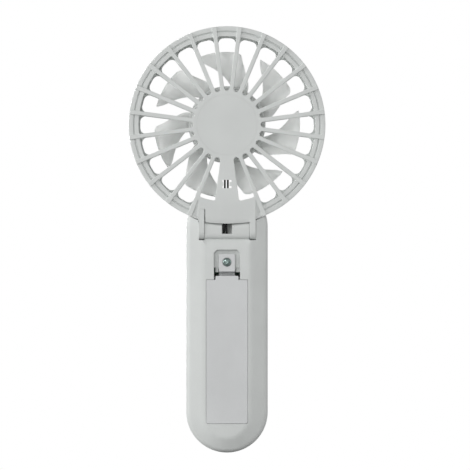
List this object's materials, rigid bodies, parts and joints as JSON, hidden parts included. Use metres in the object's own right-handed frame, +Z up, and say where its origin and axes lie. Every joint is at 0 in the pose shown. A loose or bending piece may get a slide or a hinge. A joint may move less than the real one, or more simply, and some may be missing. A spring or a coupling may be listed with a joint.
{
  "type": "handheld electric fan",
  "caption": "Handheld electric fan: a round caged head on a fold-back hinge, a flat battery handle with a screwed door, a front power button and a side charging socket.",
  "frame": {"origin": "bottom of the handle's round end, midway through the head's thickness and width", "axes": "+Z up the handle to the head, -Y out of the front grille, +Y out of the back with the battery door, +X to the right seen from the front"},
  "size_m": [0.095, 0.027, 0.2058],
  "materials": {
    "shell_plastic": "fine satin moulded ABS, light warm-green grey",
    "door_plastic": "fine satin moulded ABS, light neutral grey",
    "impeller_plastic": "smooth satin moulded plastic",
    "button_plastic": "smooth moulded plastic",
    "zinc_steel": "zinc plated steel",
    "nickel": "nickel plated strip and stamped sheet",
    "copper": "enamelled copper windings",
    "magnet": "sintered ferrite",
    "black_plastic": "moulded nylon",
    "circuit_green": "solder mask on glass fibre board",
    "cell_wrap": null,
    "clear_plastic": "clear moulded plastic",
    "lead_sleeve": "soft black insulation"
  },
  "bodies": {
    "handle": {"rear_shell": "shell_plastic", "front_shell": "shell_plastic", "battery_cell": "cell_wrap", "positive_contact": "nickel", "negative_contact": "nickel", "circuit_board": "circuit_green", "tact_switch": "black_plastic", "charging_socket": "nickel", "status_lamp": "clear_plastic", "lamp_window": "clear_plastic", "shell_screw_1": "zinc_steel", "shell_screw_2": "zinc_steel", "shell_screw_3": "zinc_steel", "shell_screw_4": "zinc_steel", "board_screw_1": "zinc_steel", "board_screw_2": "zinc_steel", "motor_lead_lower_1": "lead_sleeve", "motor_lead_lower_2": "lead_sleeve", "battery_lead_positive": "lead_sleeve", "battery_lead_negative": "lead_sleeve"},
    "head": {"rear_grille": "shell_plastic", "front_grille": "shell_plastic", "hinge_cheek": "shell_plastic", "rear_cap": "shell_plastic", "front_cap": "shell_plastic", "lead_cover": "shell_plastic", "motor_can": "zinc_steel", "motor_magnet": "magnet", "motor_end_cap": "black_plastic", "motor_screw_1": "zinc_steel", "motor_screw_2": "zinc_steel", "cheek_screw": "zinc_steel", "motor_lead_upper_1": "lead_sleeve", "motor_lead_upper_2": "lead_sleeve"},
    "impeller": {"impeller": "impeller_plastic", "motor_shaft": "zinc_steel", "motor_armature": "copper"},
    "battery_door": {"battery_door": "door_plastic", "door_screw": "zinc_steel"},
    "power_button": {"power_button": "button_plastic"}
  },
  "joints": [
    {"name": "head_fold", "type": "hinge", "parent": "handle", "child": "head", "pos_m": [0, 0.009, 0.1071], "axis": [-1, 0, 0], "range_deg": [0, 90]},
    {"name": "impeller_spin", "type": "hinge", "parent": "head", "child": "impeller", "pos_m": [0, 0, 0.1583], "axis": [0, 1, 0], "continuous": true},
    {"name": "button_press", "type": "slide", "parent": "handle", "child": "power_button", "axis": [0, 1, 0], "range_m": [0, 0.0005], "stiffness_N_per_m": 300, "springref_m": -0.001},
    {"name": "battery_door_lift", "type": "slide", "parent": "handle", "child": "battery_door", "axis": [0, 1, 0], "range_m": [0, 0.014]}
  ]
}
